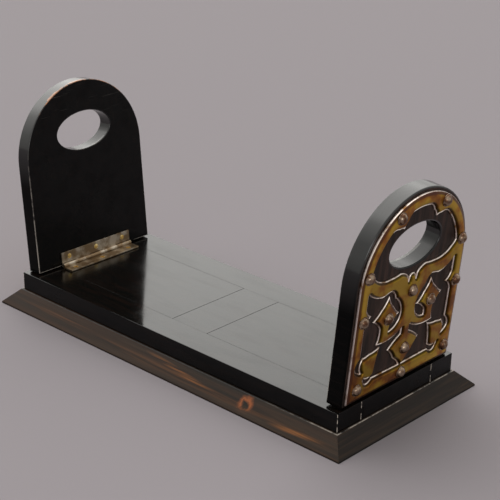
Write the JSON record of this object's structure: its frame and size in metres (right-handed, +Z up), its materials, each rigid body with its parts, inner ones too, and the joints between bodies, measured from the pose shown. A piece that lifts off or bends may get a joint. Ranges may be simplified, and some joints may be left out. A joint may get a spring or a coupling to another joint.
{
  "type": "desktop book rack",
  "caption": "Desktop book slide: a low platform of sliding boards on a bevelled plinth, with round-topped folding ends under pierced brass mounts.",
  "frame": {"origin": "middle of the plinth's underside", "axes": "+X along the length, from the left end to the right end; +Y across, to the back; +Z up"},
  "size_m": [0.3694, 0.1566, 0.1766],
  "materials": {
    "ebonised_wood": "ebonised and French polished",
    "plinth_wood": "dark figured hardwood, polished",
    "carcass_wood": "plain mahogany, unpolished",
    "peg_wood": "plain beech",
    "mount_brass": "gilt brass, aged",
    "hinge_brass": "dull aged brass",
    "stud_brass": "worn copper-toned brass"
  },
  "bodies": {
    "base": {"base_board": "carcass_wood", "front_plinth": "plinth_wood", "rear_plinth": "plinth_wood", "left_plinth": "plinth_wood", "right_plinth": "plinth_wood", "front_rail": "ebonised_wood", "rear_rail": "ebonised_wood", "centre_block": "ebonised_wood"},
    "left_board": {"left_slide": "ebonised_wood", "left_stop_peg": "peg_wood", "left_slide_leaf": "hinge_brass", "left_hinge_pin": "hinge_brass", "left_slide_screw_1": "stud_brass", "left_slide_screw_2": "stud_brass", "left_slide_screw_3": "stud_brass"},
    "left_folding_end": {"left_end": "ebonised_wood", "left_mount": "mount_brass", "left_end_leaf": "hinge_brass", "left_end_screw_1": "stud_brass", "left_end_screw_2": "stud_brass", "left_end_screw_3": "stud_brass", "left_stud_01": "stud_brass", "left_stud_02": "stud_brass", "left_stud_03": "stud_brass", "left_stud_04": "stud_brass", "left_stud_05": "stud_brass", "left_stud_06": "stud_brass", "left_stud_07": "stud_brass", "left_stud_08": "stud_brass", "left_stud_09": "stud_brass", "left_stud_10": "stud_brass", "left_stud_11": "stud_brass", "left_stud_12": "stud_brass", "left_stud_13": "stud_brass"},
    "right_board": {"right_slide": "ebonised_wood", "right_stop_peg": "peg_wood", "right_slide_leaf": "hinge_brass", "right_hinge_pin": "hinge_brass", "right_slide_screw_1": "stud_brass", "right_slide_screw_2": "stud_brass", "right_slide_screw_3": "stud_brass"},
    "right_folding_end": {"right_end": "ebonised_wood", "right_mount": "mount_brass", "right_end_leaf": "hinge_brass", "right_end_screw_1": "stud_brass", "right_end_screw_2": "stud_brass", "right_end_screw_3": "stud_brass", "right_stud_01": "stud_brass", "right_stud_02": "stud_brass", "right_stud_03": "stud_brass", "right_stud_04": "stud_brass", "right_stud_05": "stud_brass", "right_stud_06": "stud_brass", "right_stud_07": "stud_brass", "right_stud_08": "stud_brass", "right_stud_09": "stud_brass", "right_stud_10": "stud_brass", "right_stud_11": "stud_brass", "right_stud_12": "stud_brass", "right_stud_13": "stud_brass"}
  },
  "joints": [
    {"name": "left_slide_out", "type": "slide", "parent": "base", "child": "left_board", "axis": [-1, 0, 0], "range_m": [0, 0.095]},
    {"name": "left_fold", "type": "hinge", "parent": "left_board", "child": "left_folding_end", "pos_m": [-0.15041, 0, 0.0294], "axis": [0, 1, 0], "range_deg": [0, 97]},
    {"name": "right_slide_out", "type": "slide", "parent": "base", "child": "right_board", "axis": [1, 0, 0], "range_m": [0, 0.095]},
    {"name": "right_fold", "type": "hinge", "parent": "right_board", "child": "right_folding_end", "pos_m": [0.15041, 0, 0.0294], "axis": [0, -1, 0], "range_deg": [0, 97]}
  ]
}
